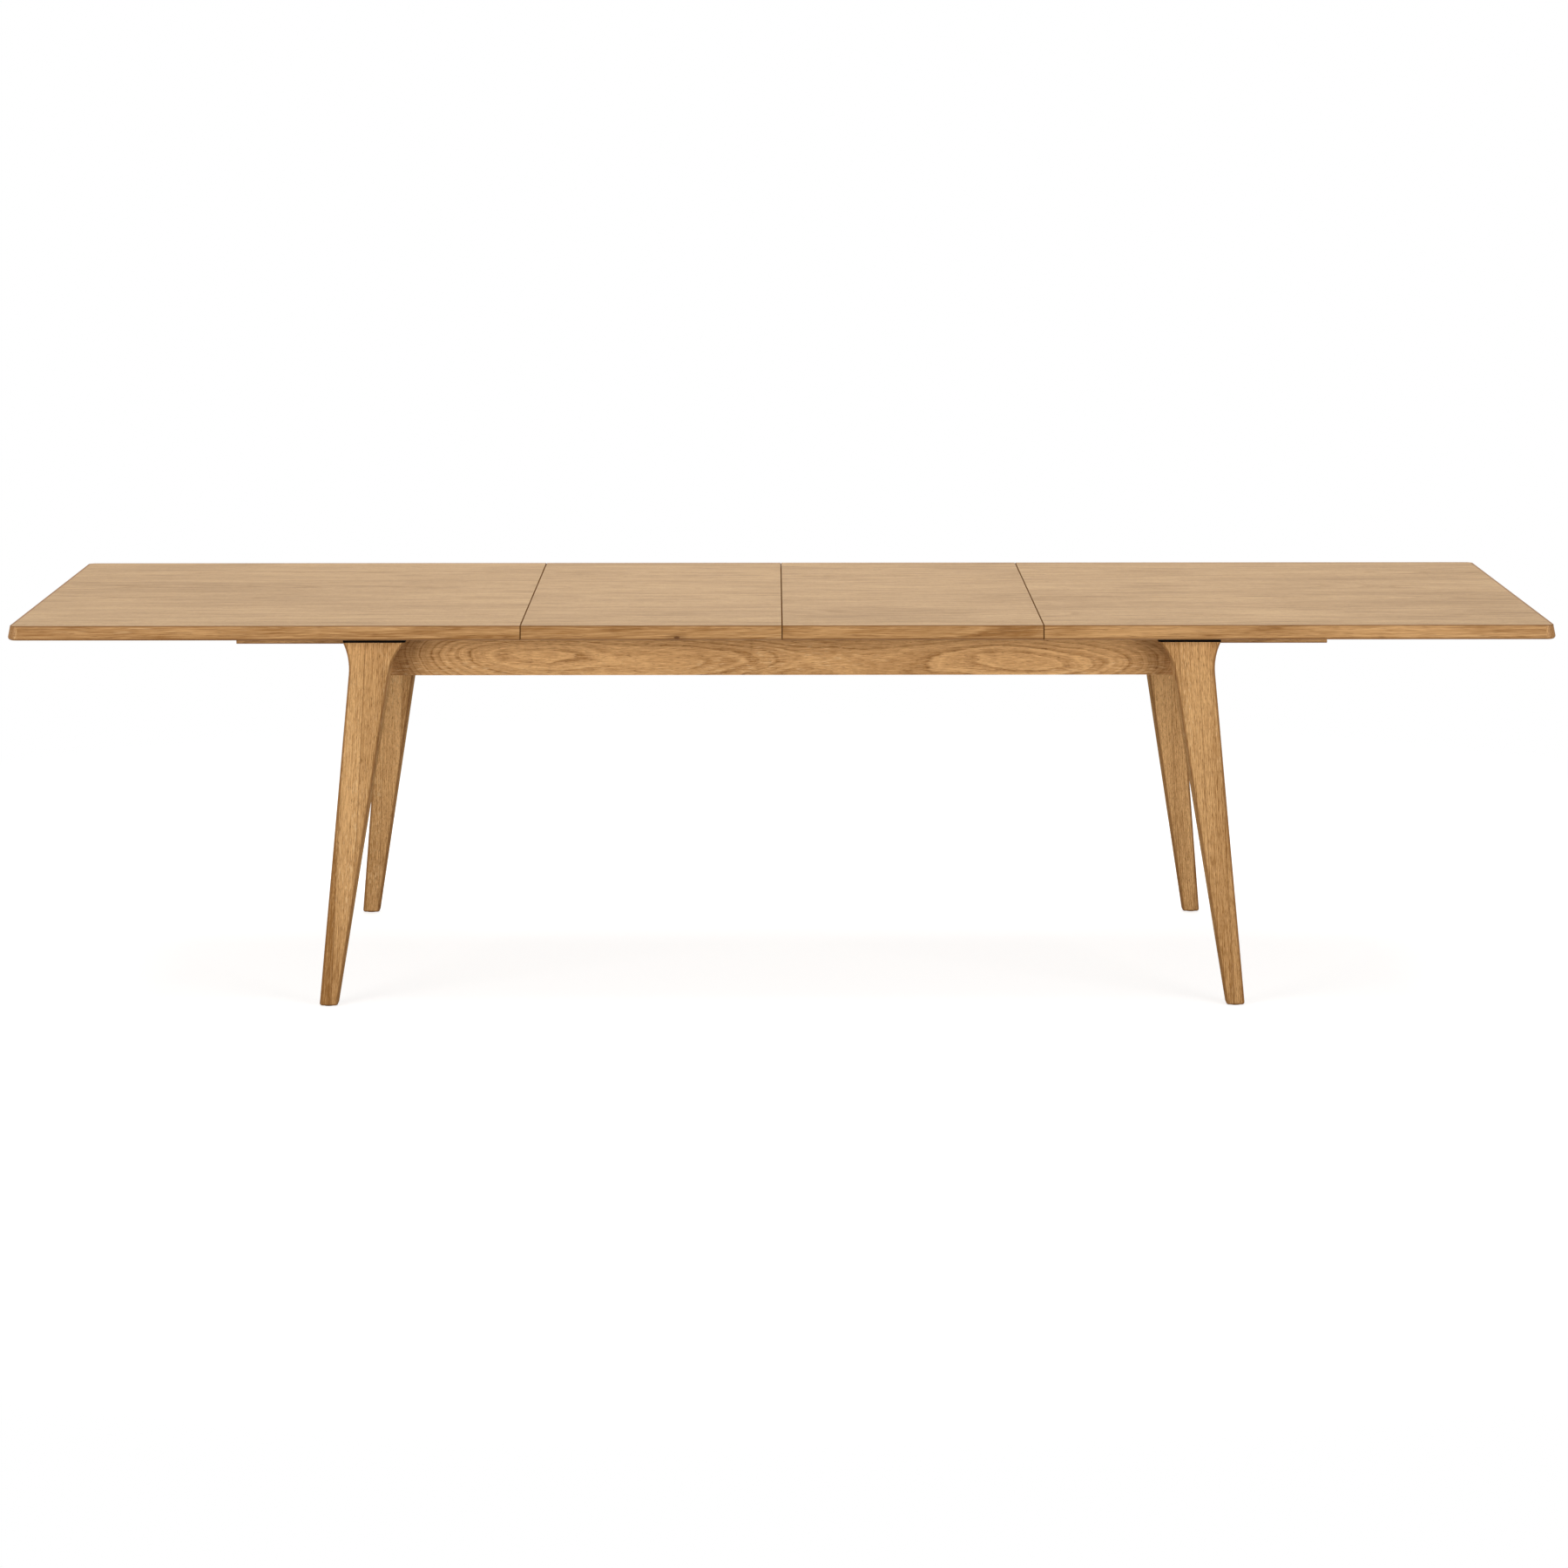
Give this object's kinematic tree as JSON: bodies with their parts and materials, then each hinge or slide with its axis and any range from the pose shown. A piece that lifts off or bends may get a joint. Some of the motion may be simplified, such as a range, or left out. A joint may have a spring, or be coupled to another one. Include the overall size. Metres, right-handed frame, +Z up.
{
  "type": "extendable dining table",
  "caption": "Oak dining table drawn out to full length, with sliding end tops, lift-out leaves and flared splayed legs.",
  "frame": {"origin": "on the floor, under the middle of the table", "axes": "+X to the right along the length, +Y to the back, +Z up"},
  "size_m": [2.96, 1, 0.75],
  "materials": {
    "oak_veneer": "matt oiled oak veneer",
    "oak_solid": "matt oiled solid oak",
    "board": "backing veneer on particle board",
    "beech": "plain planed beech",
    "cap_black": "matt black",
    "zinc_steel": "bright zinc plating",
    "glide_plastic": "brown nylon"
  },
  "bodies": {
    "frame": {"leg_front_left": "oak_solid", "leg_cap_front_left": "cap_black", "corner_bracket_front_left": "zinc_steel", "leg_front_right": "oak_solid", "leg_cap_front_right": "cap_black", "corner_bracket_front_right": "zinc_steel", "apron_front": "oak_solid", "guide_front": "beech", "bearer_front": "beech", "leg_back_left": "oak_solid", "leg_cap_back_left": "cap_black", "corner_bracket_back_left": "zinc_steel", "leg_back_right": "oak_solid", "leg_cap_back_right": "cap_black", "corner_bracket_back_right": "zinc_steel", "apron_back": "oak_solid", "guide_back": "beech", "bearer_back": "beech", "end_rail_left": "oak_solid", "end_rail_right": "oak_solid", "cross_rail_left": "beech", "cross_rail_middle": "beech", "cross_rail_right": "beech", "leg_bolts": "zinc_steel", "leg_washers": "zinc_steel", "leg_nuts": "zinc_steel", "bracket_screws": "zinc_steel", "frame_screws": "zinc_steel", "foot_glides": "glide_plastic"},
    "top_left": {"top_left_core": "board", "top_left_veneer": "oak_veneer", "top_left_lipping_front": "oak_solid", "top_left_lipping_back": "oak_solid", "top_left_lipping_end": "oak_solid", "runner_left_front": "oak_solid", "runner_left_back": "oak_solid", "stops_left": "beech", "runner_screws_left": "zinc_steel"},
    "top_right": {"top_right_core": "board", "top_right_veneer": "oak_veneer", "top_right_lipping_front": "oak_solid", "top_right_lipping_back": "oak_solid", "top_right_lipping_end": "oak_solid", "runner_right_front": "oak_solid", "runner_right_back": "oak_solid", "stops_right": "beech", "runner_screws_right": "zinc_steel"},
    "leaf_left": {"leaf_left_core": "board", "leaf_left_veneer": "oak_veneer", "leaf_left_lipping_front": "oak_solid", "leaf_left_lipping_back": "oak_solid", "leaf_left_pegs": "beech"},
    "leaf_right": {"leaf_right_core": "board", "leaf_right_veneer": "oak_veneer", "leaf_right_lipping_front": "oak_solid", "leaf_right_lipping_back": "oak_solid", "leaf_right_pegs": "beech"}
  },
  "joints": [
    {"name": "top_left_slide", "type": "slide", "parent": "frame", "child": "top_left", "axis": [-1, 0, 0], "range_m": [0, 0.04]},
    {"name": "top_right_slide", "type": "slide", "parent": "frame", "child": "top_right", "axis": [1, 0, 0], "range_m": [0, 0.04]},
    {"name": "leaf_left_lift", "type": "slide", "parent": "frame", "child": "leaf_left", "axis": [0, 0, 1], "range_m": [0, 0.25]},
    {"name": "leaf_right_lift", "type": "slide", "parent": "frame", "child": "leaf_right", "axis": [0, 0, 1], "range_m": [0, 0.25]}
  ]
}
